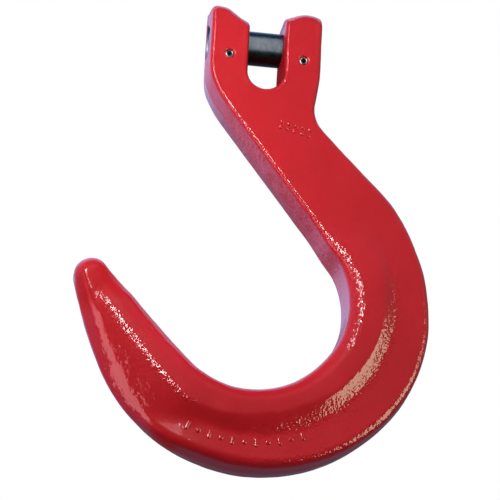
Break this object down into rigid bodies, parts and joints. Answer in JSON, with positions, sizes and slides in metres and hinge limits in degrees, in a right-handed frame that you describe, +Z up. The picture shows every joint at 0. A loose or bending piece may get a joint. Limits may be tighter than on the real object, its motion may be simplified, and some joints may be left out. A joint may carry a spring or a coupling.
{
  "type": "clevis foundry hook",
  "caption": "Forged lifting hook with a wide round bowl and no latch, hung by a clevis whose cross load pin is kept in by slotted spring pins.",
  "frame": {"origin": "on the load line (x = 0, the middle of the chain slot), in the forging's middle plane, at the height of the bowl's lowest point; the load pin's axis is at z = 203.2 mm", "axes": "+X along the load pin, away from the hook's tip; +Y through the forging's thickness; +Z up the load line, from the bowl to the clevis"},
  "size_m": [0.162, 0.035, 0.218],
  "materials": {
    "red_enamel": "gloss enamel over a forged skin",
    "dark_steel": "phosphated, lightly oiled",
    "spring_steel": "bright spring steel"
  },
  "bodies": {
    "hook": {"hook_body": "red_enamel", "roll_pin_left": "spring_steel", "roll_pin_right": "spring_steel"},
    "pin": {"load_pin": "dark_steel"}
  },
  "joints": [
    {"name": "load_pin_turn", "type": "hinge", "parent": "hook", "child": "pin", "pos_m": [0, 0, 0.2032], "axis": [1, 0, 0], "continuous": true}
  ]
}
